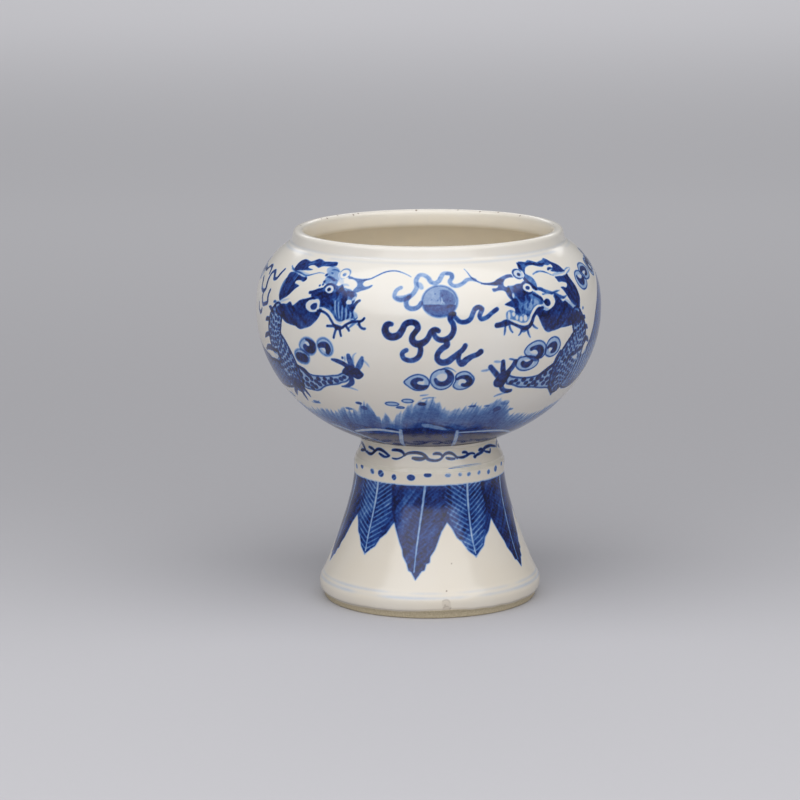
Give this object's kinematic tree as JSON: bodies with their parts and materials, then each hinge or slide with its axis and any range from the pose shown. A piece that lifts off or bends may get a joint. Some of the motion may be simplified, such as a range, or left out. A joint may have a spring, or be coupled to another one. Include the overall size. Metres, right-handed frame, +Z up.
{
  "type": "alms bowl",
  "caption": "Porcelain alms bowl: a deep round bowl with a drawn-in shoulder and upright lip, on a waisted neck ring and a hollow splayed stem foot.",
  "frame": {"origin": "centre of the foot's flat resting face, on the table", "axes": "+Z up along the axis the bowl was turned on, -Y towards the painted front with the flaming pearl, +X to the right seen from that front"},
  "size_m": [0.129, 0.129, 0.14],
  "materials": {
    "bowl_porcelain": "clear-glazed porcelain painted in cobalt blue under the glaze",
    "neck_porcelain": "clear-glazed porcelain painted in cobalt blue under the glaze",
    "stem_porcelain": "clear-glazed porcelain painted in cobalt blue under the glaze, with a bare fired foot rim",
    "luting_slip": "fired luting slip under a pooled clear glaze"
  },
  "bodies": {
    "root": {"stem_foot": "stem_porcelain", "lower_slip_ring": "luting_slip", "neck_ring": "neck_porcelain", "upper_slip_ring": "luting_slip", "bowl": "bowl_porcelain"}
  },
  "joints": []
}
